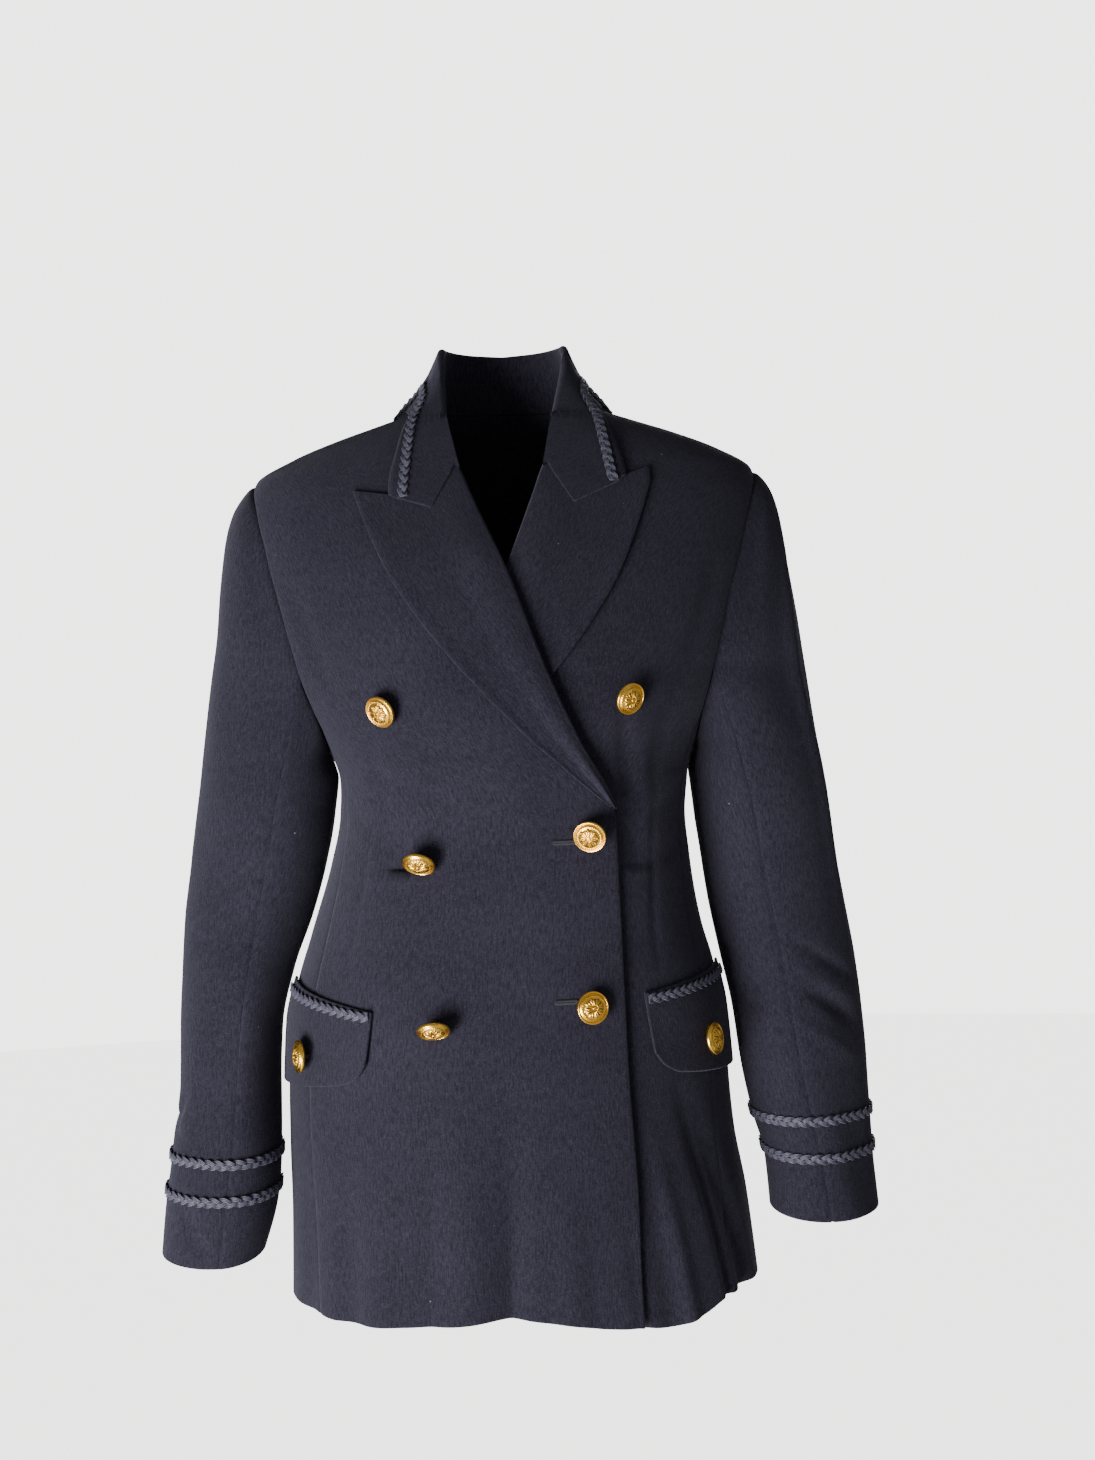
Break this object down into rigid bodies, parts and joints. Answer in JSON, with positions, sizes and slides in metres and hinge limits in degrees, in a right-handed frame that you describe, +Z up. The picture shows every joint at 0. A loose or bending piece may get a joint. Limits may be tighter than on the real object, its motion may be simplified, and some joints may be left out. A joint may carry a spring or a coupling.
{
  "type": "blazer",
  "caption": "Long double-breasted blazer in napped wool, peak lapels, flap pockets and plaited braid trim, in its worn hollow shape and open at neck, cuffs and hem.",
  "frame": {"origin": "the mount shoulders: between the two shoulder points, at the height where the collar meets the shoulders", "axes": "+Z up, -Y to the front of the blazer, +X to the wearer's left"},
  "size_m": [0.5621, 0.2997, 0.7546],
  "materials": {
    "wool": "dark navy napped wool, matt",
    "braid": "plaited navy cord, matt",
    "buttons": "bright gold colour with shaded relief"
  },
  "bodies": {
    "root": {"front_right": "wool", "front_left": "wool", "back_right": "wool", "back_left": "wool", "side_panel_right": "wool", "side_panel_left": "wool", "sleeve_top_right": "wool", "sleeve_top_left": "wool", "sleeve_under_right": "wool", "sleeve_under_left": "wool", "collar": "wool", "lapel_right": "wool", "lapel_left": "wool", "flap_right": "wool", "flap_left": "wool", "braid_collar": "braid", "braid_flap_right": "braid", "braid_flap_left": "braid", "braid_cuff_right_upper": "braid", "braid_cuff_right_lower": "braid", "braid_cuff_left_upper": "braid", "braid_cuff_left_lower": "braid", "button_right_1": "buttons", "button_right_2": "buttons", "button_right_3": "buttons", "button_left_1": "buttons", "button_left_2": "buttons", "button_left_3": "buttons", "button_flap_right": "buttons", "button_flap_left": "buttons"}
  },
  "joints": []
}
